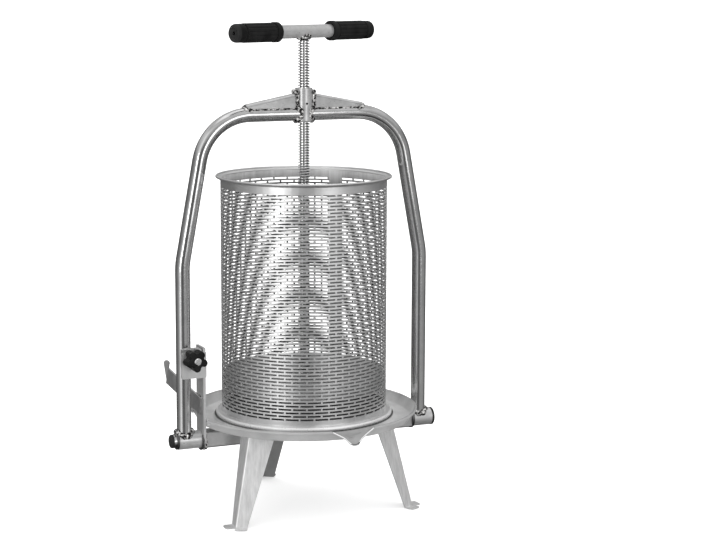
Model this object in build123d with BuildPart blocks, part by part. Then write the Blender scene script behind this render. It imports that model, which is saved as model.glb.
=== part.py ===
"""Stainless steel screw fruit press with a perforated basket and a hinged yoke.

Millimetres. +Z is up, the floor is z = 0, the basket's axis is the Z axis, the hinge of the
yoke lies along X and the pouring lip points to the front, -Y.
"""

import os
from math import cos, radians, sin, sqrt, tan

from build123d import *

# Fits and sheet
running_gap = 0.1
seat_gap = 0.2
thin_sheet = 1.5
leg_sheet = 2.0
bracket_sheet = 3.0

# Basket
wall_radius = 126.0
basket_bottom = 146.5
basket_height = 366.0
rim_radius = 133.5
rim_height = 6.0
rim_roll = 1.8
base_ring_radius = 135.0
base_ring_height = 6.0
base_ring_roll = 2.6
slot_columns = 18
slot_rows = 14
slot_height = 8.0
slot_bridge = 7.0
plain_band_top = 12.0
plain_band_bottom = 10.0
seam_angle = 63.0

# Tray
platform_margin = 2.0
gutter_depth = 6.0
tray_wall_run = 12.0
tray_radius = 174.0
tray_rim_top = 155.5
tray_roll = 2.2
tray_bend = 3.0
lip_angle = -87.0
lip_half_width = 31.0
lip_overhang = 5.0
lip_fall_angle = 14.0
lip_waist = 15.0
lip_tip_half_width = 5.5
lip_root_half_width = 6.0
lip_round = 8.0
bar_notch_gap = 0.5
bar_notch_side = 19.0

# Crossbeam, axle and hinge
hinge_height = 119.0
beam_size = 25.0
beam_wall = 2.0
beam_corner = 3.0
beam_inset = 9.5
beam_overhang = 4.5
axle_diameter = 20.6
axle_bore = 15.0
axle_overhang = 18.0
collar_diameter = 31.0
collar_width = 4.0
sleeve_diameter = 27.0
left_sleeve_length = 35.5
right_sleeve_length = 35.0
sleeve_end_wall = 3.5
end_play = 0.5
ring_diameter = 26.0
ring_width = 2.5
plug_head = 4.0
plug_stem = 12.0
saddle_offset = 95.0
saddle_width = 30.0
saddle_overlap = 7.0

# Legs
front_left_angle = -149.0
front_right_angle = -29.0
rear_angle = 91.0
leg_half_angle = 55.0
leg_top_radius = 134.0
leg_foot_radius = 169.5
leg_top_face = 41.0
leg_foot_face = 18.0
leg_fold = 3.0
tab_reach = 14.0
tab_corner = 3.0

# Yoke
tube_diameter = 22.0
tube_wall = 2.0
post_gap = 20.0
kink_height = 386.0
kink_lean = 10.5
kink_radius = 100.0
top_tube_height = 605.0
bend_radius = 80.0
nut_diameter = 26.0
nut_below = 13.0
nut_above = 38.0
nut_chamfer = 2.5
grease_hole = 3.5
grease_hole_rise = 15.0
gusset_reach = 94.0
gusset_rise = 33.0
gusset_end_rise = 15.0
gusset_width = 16.0
gusset_sheet = 2.0
gusset_round = 5.0

# Screw and handle
screw_diameter = 18.0
foot_diameter = 26.0
foot_height = 12.0
handle_height = 727.0
handle_angle = 22.0
handle_diameter = 20.0
handle_wall = 2.0
handle_length = 276.0
grip_diameter = 28.5
grip_length = 87.0
grip_end_wall = 3.0
grip_collar = 9.0
grip_collar_rise = 0.8
grip_round = 5.0
grip_flutes = 12
flute_width = 3.0
flute_depth = 1.0
grip_vent = 6.0

# Press plate and swivel
plate_bottom = 186.0
plate_gap = 4.5
plate_thickness = 4.0
plate_rim_height = 28.0
plate_rim_wall = 2.5
cup_diameter = 46.0
washer_thickness = 3.0
cover_thickness = 4.0
cover_screw_count = 4
cover_screw_diameter = 4.0
cover_screw_length = 12.0
cover_screw_head = 7.0
cover_screw_head_height = 4.0

# Latch
latch_bar_width = 32.4
latch_bar_sheet = 4.0
latch_bar_top = 261.0
pad_thickness = 5.0
pad_width = 30.0
pad_height = 28.0
latch_plate_overhang = 9.0
latch_plate_bottom = 217.0
latch_plate_top = 256.0
latch_plate_sheet = 4.0
latch_plate_corner = 2.0
knob_offset = 8.0
knob_height = 247.0
knob_diameter = 33.0
knob_lobes = 5
knob_lobe_radius = 5.4
knob_notch = 2.6
knob_depth = 22.0
knob_round = 3.0
knob_hub_diameter = 11.0
knob_hub_rise = 2.5
stud_diameter = 8.0
stud_tip_diameter = 6.4
stud_tip_length = 5.5
latch_hole_gap = 0.4
pad_hole_gap = 0.9
latch_washer_diameter = 18.0
latch_washer_thickness = 2.0

# Tilt rest
rest_front = -11.0
rest_back = 148.0
rest_height = 26.0
rest_front_top = 184.0
rest_slope_angle = 5.3
ear_rise = 13.0
ear_run = 9.0
ear_angle = 48.0

# Derived sizes
basket_top = basket_bottom + basket_height
wall_inner = wall_radius - thin_sheet
wall_bottom = basket_bottom + base_ring_height
wall_top = basket_top - rim_height
platform_under = basket_bottom - thin_sheet
gutter_top = basket_bottom - gutter_depth
platform_radius = base_ring_radius + platform_margin
gutter_radius = tray_radius - tray_wall_run
lip_reach = tray_radius + lip_overhang
yoke_half_span = tray_radius + post_gap
beam_left = beam_inset - tray_radius
beam_right = tray_radius + beam_overhang
axle_left = -yoke_half_span - axle_overhang
latch_plate_outer = -yoke_half_span - latch_plate_overhang
latch_bar_inner = beam_left
latch_bar_outer = latch_bar_inner - latch_bar_sheet
sleeve_left_inner = latch_bar_outer - end_play
sleeve_left_outer = sleeve_left_inner - left_sleeve_length
sleeve_right_inner = beam_right + collar_width + end_play
sleeve_right_outer = sleeve_right_inner + right_sleeve_length
axle_right = sleeve_right_outer - sleeve_end_wall - end_play
ring_inner = sleeve_left_outer - end_play
hinge_bore = axle_diameter + 2 * running_gap
nut_bottom = top_tube_height - nut_below
nut_top = top_tube_height + nut_above
grease_hole_height = top_tube_height + grease_hole_rise
gusset_top = top_tube_height + gusset_rise
gusset_end_top = top_tube_height + gusset_end_rise
post_front = -tube_diameter / 2
pad_front = post_front - pad_thickness
latch_plate_back = pad_front - seat_gap
latch_plate_front = latch_plate_back - latch_plate_sheet
washer_front = latch_plate_front - latch_washer_thickness
knob_x = -yoke_half_span + knob_offset
knob_front = washer_front - knob_depth
plate_radius = wall_inner - plate_gap
plate_top = plate_bottom + plate_thickness
foot_bottom = plate_top + washer_thickness
foot_top = foot_bottom + foot_height
cup_top = foot_top + seat_gap
cup_bore = foot_diameter + 2 * running_gap
cover_top = cup_top + cover_thickness
screw_bore = screw_diameter + 2 * running_gap

os.makedirs("parts", exist_ok=True)


def save(builder, name):
    """Label a finished sub-part and write it."""
    builder.part.label = name
    export_step(builder.part, f"parts/{name}.step")


def turned(angle, height=0.0):
    """Horizontal plane whose x axis points along an angle about Z."""
    return Plane(origin=(0, 0, height), x_dir=(cos(radians(angle)), sin(radians(angle)), 0), z_dir=(0, 0, 1))


def across(angle, distance):
    """Upright plane that faces along an angle about Z, at a distance from the Z axis; its y axis is up."""
    direction = (cos(radians(angle)), sin(radians(angle)), 0)
    sideways = (-sin(radians(angle)), cos(radians(angle)), 0)
    origin = (distance * direction[0], distance * direction[1], 0)
    return Plane(origin=origin, x_dir=sideways, z_dir=direction)


def knob_plane(y):
    """Upright plane square to the knob's axis, centred on it and facing the front."""
    return Plane(origin=(knob_x, y, knob_height), x_dir=(1, 0, 0), z_dir=(0, -1, 0))


def hinge_plane(x):
    """Plane square to the hinge axis at a place along X; its x axis is Y and its y axis is Z."""
    return Plane(origin=(x, 0, hinge_height), x_dir=(0, 1, 0), z_dir=(1, 0, 0))


# Basket: perforated wall with staggered slots and a blank seam strip
slot_pitch = 360.0 / slot_columns
slot_angle = slot_pitch * (1 - slot_bridge / (wall_radius * radians(slot_pitch)))
slot_length = 2 * wall_radius * sin(radians(slot_angle / 2))
first_row = wall_bottom + plain_band_bottom + slot_height / 2
last_row = wall_top - plain_band_top - slot_height / 2
row_pitch = (last_row - first_row) / (slot_rows - 1)

with BuildPart() as basket_wall:
    with BuildSketch(Plane.XY.offset(wall_bottom)):
        Circle(wall_radius)
        Circle(wall_inner, mode=Mode.SUBTRACT)
    extrude(amount=wall_top - wall_bottom)
    for row in range(slot_rows):
        shift = 0.5 * (row % 2)
        for column in range(slot_columns):
            angle = (column + shift) * slot_pitch
            off_seam = abs((angle - seam_angle + 180.0) % 360.0 - 180.0)
            if off_seam > slot_angle / 2:
                with BuildSketch(across(angle, wall_radius - 2 * thin_sheet - slot_length / 8)):
                    with Locations((0, first_row + row * row_pitch)):
                        Rectangle(slot_length, slot_height)
    extrude(amount=4 * thin_sheet + slot_length / 4, mode=Mode.SUBTRACT)
save(basket_wall, "basket_wall")

with BuildPart() as basket_rim:
    with BuildSketch(Plane.XZ):
        with BuildLine():
            Polyline((wall_inner, wall_top), (wall_radius, wall_top),
                     (rim_radius - rim_roll, basket_top - 2 * rim_roll),
                     (rim_radius - rim_roll, basket_top - rim_roll),
                     (wall_inner, wall_top + thin_sheet), close=True)
        make_face()
        with Locations((rim_radius - rim_roll, basket_top - rim_roll)):
            Circle(rim_roll)
    revolve(axis=Axis.Z)
save(basket_rim, "basket_rim")

with BuildPart() as basket_base_ring:
    with BuildSketch(Plane.XZ):
        with BuildLine():
            Polyline((wall_inner, wall_bottom), (wall_radius, wall_bottom),
                     (base_ring_radius - base_ring_roll, basket_bottom + 2 * base_ring_roll),
                     (base_ring_radius - base_ring_roll, basket_bottom),
                     (wall_inner, basket_bottom), close=True)
        make_face()
        with Locations((base_ring_radius - base_ring_roll, basket_bottom + base_ring_roll)):
            Circle(base_ring_roll)
    revolve(axis=Axis.Z)
save(basket_base_ring, "basket_base_ring")

# Pouring lip: an inclined channel with a round bottom, trimmed in plan to a narrow tip
rim_line = tray_radius - tray_roll
wall_end = rim_line - tray_roll
wall_end_top = tray_rim_top - tray_roll
lip_fall = tan(radians(lip_fall_angle))
lip_slope = (wall_end_top - gutter_top + (rim_line - gutter_radius) * lip_fall) / lip_half_width
lip_sink = lip_round * (sqrt(1 + lip_slope**2) - 1)
lip_waist_place = (rim_line + lip_reach) / 2
lip_mouth = lip_half_width + tray_roll
lip_root = across(lip_angle, gutter_radius)
channel = Plane(origin=lip_root.origin + Vector(0, 0, gutter_top), x_dir=lip_root.x_dir,
                z_dir=lip_root.z_dir - Vector(0, 0, lip_fall))


def channel_sheet(half_width):
    """Draw the closed outline of the channel's sheet."""
    rise = half_width * lip_slope - lip_sink
    drop = thin_sheet * sqrt(1 + lip_slope**2)
    FilletPolyline((-half_width, rise), (0, -lip_sink), (half_width, rise), radius=lip_round)
    Line((half_width, rise), (half_width, rise - drop))
    FilletPolyline((half_width, rise - drop), (0, -lip_sink - drop), (-half_width, rise - drop),
                   radius=lip_round + thin_sheet)
    Line((-half_width, rise - drop), (-half_width, rise))


with BuildPart() as pouring_lip:
    with BuildSketch(channel):
        with BuildLine():
            channel_sheet(2 * lip_half_width)
        make_face()
    extrude(amount=lip_reach)
    with BuildSketch(turned(lip_angle)):
        with BuildLine():
            Polyline((rim_line, lip_mouth), (wall_end, lip_mouth),
                     (gutter_radius, lip_root_half_width), (gutter_radius, -lip_root_half_width),
                     (wall_end, -lip_mouth), (rim_line, -lip_mouth))
            ThreePointArc((rim_line, -lip_mouth), (lip_waist_place, -lip_waist),
                          (lip_reach, -lip_tip_half_width))
            Line((lip_reach, -lip_tip_half_width), (lip_reach, lip_tip_half_width))
            ThreePointArc((lip_reach, lip_tip_half_width), (lip_waist_place, lip_waist),
                          (rim_line, lip_mouth))
        make_face()
    extrude(amount=2 * tray_rim_top, mode=Mode.INTERSECT)

# Flat in the tray's wall that leaves room for the latch bar
with BuildPart() as tray_flat:
    with BuildSketch(Plane.XZ):
        with BuildLine():
            Polyline((0, gutter_top - thin_sheet / 2),
                     (gutter_radius + thin_sheet / 2, gutter_top - thin_sheet / 2),
                     (wall_end + thin_sheet / 2, wall_end_top), (0, wall_end_top), close=True)
        make_face()
    revolve(axis=Axis.Z)
    with BuildSketch(hinge_plane(latch_bar_inner + bar_notch_gap)):
        Rectangle(2 * tray_radius, 2 * tray_radius)
    extrude(amount=thin_sheet, mode=Mode.INTERSECT)

# Juice tray: raised platform, gutter, steep wall, rolled rim, the lip and the flat
with BuildPart() as juice_tray:
    with BuildSketch(Plane.XZ):
        with BuildLine():
            FilletPolyline((0, basket_bottom), (platform_radius, basket_bottom),
                           (platform_radius + gutter_depth / 2, gutter_top), (gutter_radius, gutter_top),
                           (wall_end, wall_end_top), radius=tray_bend)
            offset(amount=-thin_sheet, side=Side.RIGHT)
        make_face()
    revolve(axis=Axis.Z)
    with BuildSketch(Plane.XZ):
        with Locations((rim_line, wall_end_top)):
            Circle(tray_roll)
    revolve(axis=Axis.Z)
    with BuildSketch(channel):
        with BuildLine():
            rise = 2 * lip_half_width * lip_slope - lip_sink
            FilletPolyline((-2 * lip_half_width, rise), (0, -lip_sink), (2 * lip_half_width, rise),
                           radius=lip_round)
            Line((2 * lip_half_width, rise), (-2 * lip_half_width, rise))
        make_face()
    extrude(amount=tray_radius, mode=Mode.SUBTRACT)
    add(pouring_lip.part)
    with BuildSketch(Plane.XY.offset(gutter_top - 2 * thin_sheet)):
        with Locations((-tray_radius, 0)):
            Rectangle(2 * (tray_radius + latch_bar_inner + bar_notch_gap),
                      latch_bar_width + 2 * bar_notch_side)
    extrude(amount=tray_rim_top, mode=Mode.SUBTRACT)
    add(tray_flat.part)
save(juice_tray, "juice_tray")

# Crossbeam and the saddles that carry the tray on it
with BuildPart() as crossbeam:
    with BuildSketch(hinge_plane(beam_left)):
        RectangleRounded(beam_size, beam_size, beam_corner)
        RectangleRounded(beam_size - 2 * beam_wall, beam_size - 2 * beam_wall, beam_corner - beam_wall,
                         mode=Mode.SUBTRACT)
    extrude(amount=beam_right - beam_left)
save(crossbeam, "crossbeam")

saddle_top = platform_under - hinge_height
saddle_low = beam_size / 2 - beam_corner - saddle_overlap
for name, place in (("tray_saddle_left", -saddle_offset), ("tray_saddle_right", saddle_offset)):
    with BuildPart() as tray_saddle:
        with BuildSketch(hinge_plane(place - saddle_width / 2)):
            half = beam_size / 2
            with BuildLine():
                FilletPolyline((-half - bracket_sheet, saddle_low), (-half - bracket_sheet, saddle_top),
                               (half + bracket_sheet, saddle_top), (half + bracket_sheet, saddle_low),
                               radius=bracket_sheet + 1)
                Polyline((half + bracket_sheet, saddle_low), (half, saddle_low),
                         (half, saddle_top - bracket_sheet), (-half, saddle_top - bracket_sheet),
                         (-half, saddle_low), (-half - bracket_sheet, saddle_low))
            make_face()
        extrude(amount=saddle_width)
    save(tray_saddle, name)

# Axle with its collar, retaining ring and end plug
with BuildPart() as axle:
    with BuildSketch(hinge_plane(axle_left)):
        Circle(axle_diameter / 2)
        Circle(axle_bore / 2, mode=Mode.SUBTRACT)
    extrude(amount=axle_right - axle_left)
save(axle, "axle")

with BuildPart() as axle_collar:
    with BuildSketch(hinge_plane(beam_right)):
        Circle(collar_diameter / 2)
        Circle(hinge_bore / 2, mode=Mode.SUBTRACT)
    extrude(amount=collar_width)
save(axle_collar, "axle_collar")

with BuildPart() as axle_retaining_ring:
    with BuildSketch(hinge_plane(ring_inner - ring_width)):
        Circle(ring_diameter / 2)
        Circle(hinge_bore / 2, mode=Mode.SUBTRACT)
    extrude(amount=ring_width)
save(axle_retaining_ring, "axle_retaining_ring")

with BuildPart() as axle_end_plug:
    with BuildSketch(hinge_plane(axle_left - plug_head)):
        Circle(axle_diameter / 2)
    extrude(amount=plug_head)
    chamfer(axle_end_plug.edges().sort_by(Axis.X)[0], length=plug_head / 3)
    with BuildSketch(hinge_plane(axle_left)):
        Circle(axle_bore / 2 - running_gap)
    extrude(amount=plug_stem)
save(axle_end_plug, "axle_end_plug")

# Legs of folded L-section sheet with bent-out foot tabs
half_sin = sin(radians(leg_half_angle))
half_cos = cos(radians(leg_half_angle))


def fold(radius, face):
    """Folded outline of a leg: the fold points outwards and both faces run back from it."""
    end = (radius - face * half_cos, face * half_sin)
    inner_end = (end[0] - leg_sheet * half_sin, end[1] - leg_sheet * half_cos)
    return [(radius, 0), end, inner_end, (radius - leg_sheet / half_sin, 0),
            (inner_end[0], -inner_end[1]), (end[0], -end[1])]


for name, angle in (("leg_front_left", front_left_angle), ("leg_front_right", front_right_angle),
                    ("leg_rear", rear_angle)):
    with BuildPart() as leg:
        with BuildSketch(turned(angle, platform_under)):
            with BuildLine():
                Polyline(*fold(leg_top_radius, leg_top_face), close=True)
            make_face()
        with BuildSketch(turned(angle)):
            with BuildLine():
                Polyline(*fold(leg_foot_radius, leg_foot_face), close=True)
            make_face()
        loft(ruled=True)
        outward = Vector(cos(radians(angle)), sin(radians(angle)), 0)
        fold_edge = leg.edges().filter_by(lambda edge: edge.length > leg_foot_radius / 2).sort_by(
            lambda edge: edge.center().dot(outward))[-1]
        fillet(fold_edge, radius=leg_fold)
        for side in (1, -1):
            # each tab hangs off the lower edge of one face and points away from it
            away = outward.rotate(Axis.Z, (90 - leg_half_angle) * side)
            along = outward.rotate(Axis.Z, (180 - leg_half_angle) * side)
            middle = outward * leg_foot_radius + along * leg_foot_face / 2
            middle = middle + away * (tab_reach - leg_sheet) / 2
            with BuildSketch(Plane(origin=middle, x_dir=away, z_dir=(0, 0, 1))) as tab:
                Rectangle(tab_reach + leg_sheet, leg_foot_face)
                fillet(tab.vertices().sort_by(Axis.X)[-2:], radius=tab_corner)
            extrude(amount=leg_sheet)
    save(leg, name)

# Yoke: two bent tube halves, seated on the hinge sleeves and on the nut
corner_x = yoke_half_span - (top_tube_height - kink_height) * tan(radians(kink_lean))
for name, side in (("yoke_tube_left", -1), ("yoke_tube_right", 1)):
    with BuildPart() as yoke_tube:
        with BuildLine(Plane.XZ) as route:
            FilletPolyline((side * yoke_half_span, hinge_height), (side * yoke_half_span, kink_height),
                           (side * corner_x, top_tube_height), (0, top_tube_height),
                           radius=[kink_radius, bend_radius])
        with BuildSketch(Plane.XY.offset(hinge_height)):
            with Locations((side * yoke_half_span, 0)):
                Circle(tube_diameter / 2)
                Circle(tube_diameter / 2 - tube_wall, mode=Mode.SUBTRACT)
        sweep(path=route.wires()[0])
        with BuildSketch(hinge_plane(-2 * yoke_half_span)):
            Circle(sleeve_diameter / 2)
        extrude(amount=4 * yoke_half_span, mode=Mode.SUBTRACT)
        with BuildSketch(Plane.XY.offset(nut_bottom - tube_diameter)):
            Circle(nut_diameter / 2)
        extrude(amount=nut_top - nut_bottom + tube_diameter, mode=Mode.SUBTRACT)
    save(yoke_tube, name)

with BuildPart() as hinge_sleeve_left:
    with BuildSketch(hinge_plane(sleeve_left_outer)):
        Circle(sleeve_diameter / 2)
        Circle(hinge_bore / 2, mode=Mode.SUBTRACT)
    extrude(amount=left_sleeve_length)
save(hinge_sleeve_left, "hinge_sleeve_left")

with BuildPart() as hinge_sleeve_right:
    with BuildSketch(hinge_plane(sleeve_right_inner)):
        Circle(sleeve_diameter / 2)
    extrude(amount=right_sleeve_length)
    fillet(hinge_sleeve_right.edges().sort_by(Axis.X)[-1], radius=sleeve_end_wall / 2)
    with BuildSketch(hinge_plane(sleeve_right_inner)):
        Circle(hinge_bore / 2)
    extrude(amount=right_sleeve_length - sleeve_end_wall, mode=Mode.SUBTRACT)
save(hinge_sleeve_right, "hinge_sleeve_right")

with BuildPart() as screw_nut:
    with BuildSketch(Plane.XY.offset(nut_bottom)):
        Circle(nut_diameter / 2)
    extrude(amount=nut_top - nut_bottom)
    chamfer(screw_nut.edges().sort_by(Axis.Z)[0], length=nut_chamfer)
    with BuildSketch(Plane.XY.offset(nut_bottom)):
        Circle(screw_bore / 2)
    extrude(amount=nut_top - nut_bottom, mode=Mode.SUBTRACT)
    with BuildSketch(across(-90.0, 0)):
        with Locations((0, grease_hole_height)):
            Circle(grease_hole / 2)
    extrude(amount=nut_diameter, mode=Mode.SUBTRACT)
save(screw_nut, "screw_nut")

for name, side in (("gusset_left", -1), ("gusset_right", 1)):
    with BuildPart() as gusset:
        with BuildSketch(Plane.XZ.offset(-gusset_width / 2)):
            with BuildLine():
                Polyline((0, gusset_top), (side * gusset_reach, gusset_end_top),
                         (side * gusset_reach, top_tube_height), (0, top_tube_height), close=True)
            make_face()
        extrude(amount=gusset_width)
        upper = gusset.faces().sort_by(lambda face: face.normal_at().Z)[-1]
        fillet(upper.edges().filter_by(lambda edge: edge.length > gusset_width), radius=gusset_round)
        with BuildSketch(Plane.XZ.offset(-gusset_width / 2 + gusset_sheet)):
            with BuildLine():
                Polyline((0, gusset_top - gusset_sheet),
                         (side * (gusset_reach - gusset_sheet), gusset_end_top - gusset_sheet),
                         (side * (gusset_reach - gusset_sheet), top_tube_height), (0, top_tube_height),
                         close=True)
            make_face()
        extrude(amount=gusset_width - 2 * gusset_sheet, mode=Mode.SUBTRACT)
        with BuildLine(Plane.XZ) as seat_route:
            FilletPolyline((side * yoke_half_span, kink_height), (side * corner_x, top_tube_height),
                           (-side * nut_diameter, top_tube_height), radius=bend_radius)
        with BuildSketch(Plane(origin=seat_route.wires()[0] @ 0, z_dir=seat_route.wires()[0] % 0)):
            Circle(tube_diameter / 2)
        sweep(path=seat_route.wires()[0], mode=Mode.SUBTRACT)
        with BuildSketch(Plane.XY.offset(nut_bottom)):
            Circle(nut_diameter / 2)
        extrude(amount=nut_top - nut_bottom, mode=Mode.SUBTRACT)
    save(gusset, name)

# Threaded pad on the left post, behind the latch plate
with BuildPart() as latch_pad:
    with BuildSketch(knob_plane(pad_front)):
        RectangleRounded(pad_width, pad_height, latch_plate_corner)
    extrude(amount=-pad_thickness - tube_diameter / 4)
    with BuildSketch(Plane.XY):
        with Locations((-yoke_half_span, 0)):
            Circle(tube_diameter / 2)
    extrude(amount=kink_height, mode=Mode.SUBTRACT)
    with BuildSketch(knob_plane(pad_front)):
        Circle(stud_tip_diameter / 2 + pad_hole_gap)
    extrude(amount=-tube_diameter / 2 - pad_thickness, mode=Mode.SUBTRACT)
save(latch_pad, "latch_pad")

# Latch: flat bar round the axle, front plate, stud and star knob
with BuildPart() as latch_bar:
    with BuildSketch(hinge_plane(latch_bar_outer)):
        Circle(latch_bar_width / 2)
        with Locations((0, (latch_bar_top - hinge_height) / 2)):
            Rectangle(latch_bar_width, latch_bar_top - hinge_height)
        Circle(hinge_bore / 2, mode=Mode.SUBTRACT)
    extrude(amount=latch_bar_sheet)
save(latch_bar, "latch_bar")

with BuildPart() as latch_plate:
    with BuildSketch(Plane.XZ.offset(-latch_plate_back)):
        with Locations(((latch_plate_outer + latch_bar_inner) / 2,
                        (latch_plate_bottom + latch_plate_top) / 2)):
            RectangleRounded(latch_bar_inner - latch_plate_outer, latch_plate_top - latch_plate_bottom,
                             latch_plate_corner)
    extrude(amount=latch_plate_sheet)
    with BuildSketch(knob_plane(latch_plate_back)):
        Circle(stud_diameter / 2 + latch_hole_gap)
    extrude(amount=latch_plate_sheet, mode=Mode.SUBTRACT)
save(latch_plate, "latch_plate")

with BuildPart() as latch_washer:
    with BuildSketch(knob_plane(latch_plate_front)):
        Circle(latch_washer_diameter / 2)
        Circle(stud_diameter / 2 + running_gap, mode=Mode.SUBTRACT)
    extrude(amount=latch_washer_thickness)
save(latch_washer, "latch_washer")

lobe_ring = knob_diameter / 2 - knob_lobe_radius
with BuildPart() as latch_knob:
    with BuildSketch(knob_plane(washer_front)) as star:
        Circle(lobe_ring)
        with PolarLocations(lobe_ring, knob_lobes, start_angle=-90):
            Circle(knob_lobe_radius)
        inner_reach = knob_diameter / 2 - knob_notch
        notches = star.vertices().filter_by(lambda corner: Vector(corner).length < inner_reach)
        fillet(notches, radius=knob_notch)
    extrude(amount=knob_depth)
    fillet(latch_knob.faces().sort_by(Axis.Y)[0].edges(), radius=knob_round)
    with BuildSketch(knob_plane(washer_front)):
        Circle(knob_hub_diameter / 2)
    extrude(amount=knob_depth, mode=Mode.SUBTRACT)
save(latch_knob, "latch_knob")

with BuildPart() as latch_hub:
    with BuildSketch(knob_plane(washer_front)):
        Circle(knob_hub_diameter / 2)
    extrude(amount=knob_depth + knob_hub_rise)
    chamfer(latch_hub.edges().sort_by(Axis.Y)[0], length=knob_hub_rise / 2)
    with BuildSketch(knob_plane(washer_front)):
        Circle(stud_diameter / 2)
    extrude(amount=knob_depth, mode=Mode.SUBTRACT)
save(latch_hub, "latch_hub")

with BuildPart() as latch_stud:
    with BuildSketch(knob_plane(latch_plate_back)):
        Circle(stud_diameter / 2)
    extrude(amount=latch_plate_back - knob_front)
    with BuildSketch(knob_plane(latch_plate_back)):
        Circle(stud_tip_diameter / 2)
    extrude(amount=-stud_tip_length)
save(latch_stud, "latch_stud")

# Tilt rest: a strip on the latch bar whose rear ear is bent out towards the post
rise = tan(radians(rest_slope_angle))
rest_plane = Plane(origin=(latch_bar_outer, 0, 0), x_dir=(0, 1, 0), z_dir=(1, 0, 0))
back_top = rest_front_top + (rest_back - rest_front) * rise
with BuildPart() as tilt_rest:
    with BuildSketch(rest_plane):
        with BuildLine():
            Polyline((rest_front, rest_front_top), (rest_back, back_top),
                     (rest_back + ear_run, back_top - rest_height),
                     (rest_front + ear_run, rest_front_top - rest_height), close=True)
        make_face()
    extrude(amount=-bracket_sheet)
    fold_low = Vector(latch_bar_outer, rest_back + ear_run, back_top - rest_height)
    fold_high = Vector(latch_bar_outer, rest_back, back_top)
    up = (fold_high - fold_low).normalized()
    away = Vector(-sin(radians(ear_angle)), cos(radians(ear_angle)) * up.Z, -cos(radians(ear_angle)) * up.Y)
    ear_face = Plane(origin=fold_low, x_dir=away, z_dir=away.cross(up))
    ear_length = (fold_high - fold_low).length
    with BuildSketch(ear_face):
        with BuildLine():
            Line((0, 0), (0, ear_length + ear_rise / 2))
            ThreePointArc((0, ear_length + ear_rise / 2), (ear_run / 2, ear_length + ear_rise),
                          (ear_run, ear_length + ear_rise / 2))
            Line((ear_run, ear_length + ear_rise / 2), (0, 0))
        make_face()
    extrude(amount=-bracket_sheet)
save(tilt_rest, "tilt_rest")

# Screw, handle and grips
with BuildPart() as screw_spindle:
    with BuildSketch(Plane.XY.offset(foot_bottom)):
        Circle(foot_diameter / 2)
    extrude(amount=foot_height)
    with BuildSketch(Plane.XY.offset(foot_bottom)):
        Circle(screw_diameter / 2)
    extrude(amount=handle_height - foot_bottom)
    with BuildSketch(across(handle_angle, -handle_length / 2)):
        with Locations((0, handle_height)):
            Circle(handle_diameter / 2)
    extrude(amount=handle_length, mode=Mode.SUBTRACT)
save(screw_spindle, "screw_spindle")

with BuildPart() as handle_bar:
    with BuildSketch(across(handle_angle, -handle_length / 2)):
        with Locations((0, handle_height)):
            Circle(handle_diameter / 2)
            Circle(handle_diameter / 2 - handle_wall, mode=Mode.SUBTRACT)
    extrude(amount=handle_length)
save(handle_bar, "handle_bar")

grip_outer_end = handle_length / 2 + grip_end_wall
for name, angle in (("grip_left", handle_angle + 180.0), ("grip_right", handle_angle)):
    grip_start = grip_outer_end - grip_length
    with BuildPart() as grip:
        with BuildSketch(across(angle, grip_start)):
            with Locations((0, handle_height)):
                Circle(grip_diameter / 2)
        extrude(amount=grip_length)
        outer_edge = grip.edges().sort_by(lambda edge: edge.center().dot(across(angle, 0).z_dir))[-1]
        fillet(outer_edge, radius=grip_round)
        flute_length = grip_length - 2 * grip_collar
        with BuildSketch(across(angle, grip_start + grip_collar)):
            with Locations((0, handle_height)):
                with PolarLocations(grip_diameter / 2, grip_flutes):
                    Rectangle(2 * flute_depth, flute_width)
        extrude(amount=flute_length, mode=Mode.SUBTRACT)
        with BuildSketch(across(angle, grip_start)):
            with Locations((0, handle_height)):
                Circle(grip_diameter / 2 + grip_collar_rise)
        extrude(amount=grip_collar)
        with BuildSketch(across(angle, grip_start)):
            with Locations((0, handle_height)):
                Circle(handle_diameter / 2)
        extrude(amount=grip_length - grip_end_wall, mode=Mode.SUBTRACT)
        with BuildSketch(across(angle, grip_start)):
            with Locations((0, handle_height)):
                Circle(grip_vent / 2)
        extrude(amount=grip_length, mode=Mode.SUBTRACT)
    save(grip, name)

# Press plate and the swivel that hangs it on the screw
with BuildPart() as press_plate:
    with BuildSketch(Plane.XZ):
        with BuildLine():
            Polyline((0, plate_bottom), (plate_radius, plate_bottom),
                     (plate_radius, plate_bottom + plate_rim_height),
                     (plate_radius - plate_rim_wall, plate_bottom + plate_rim_height),
                     (plate_radius - plate_rim_wall, plate_top), (0, plate_top), close=True)
        make_face()
    revolve(axis=Axis.Z)
    fillet(press_plate.edges().sort_by(Axis.Z)[0], radius=plate_thickness / 2)
save(press_plate, "press_plate")

screw_ring = (cup_bore + cup_diameter) / 4
with BuildPart() as swivel_cup:
    with BuildSketch(Plane.XY.offset(plate_top)):
        Circle(cup_diameter / 2)
        Circle(cup_bore / 2, mode=Mode.SUBTRACT)
    extrude(amount=cup_top - plate_top)
    with BuildSketch(Plane.XY.offset(cup_top)):
        with PolarLocations(screw_ring, cover_screw_count):
            Circle(cover_screw_diameter / 2 + running_gap)
    extrude(amount=-cover_screw_length + cover_thickness - seat_gap, mode=Mode.SUBTRACT)
save(swivel_cup, "swivel_cup")

with BuildPart() as thrust_washer:
    with BuildSketch(Plane.XY.offset(plate_top)):
        Circle(foot_diameter / 2)
    extrude(amount=washer_thickness)
save(thrust_washer, "thrust_washer")

with BuildPart() as swivel_cover:
    with BuildSketch(Plane.XY.offset(cup_top)):
        Circle(cup_diameter / 2)
        Circle(screw_bore / 2, mode=Mode.SUBTRACT)
        with PolarLocations(screw_ring, cover_screw_count):
            Circle(cover_screw_diameter / 2 + running_gap, mode=Mode.SUBTRACT)
    extrude(amount=cover_thickness)
save(swivel_cover, "swivel_cover")

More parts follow.
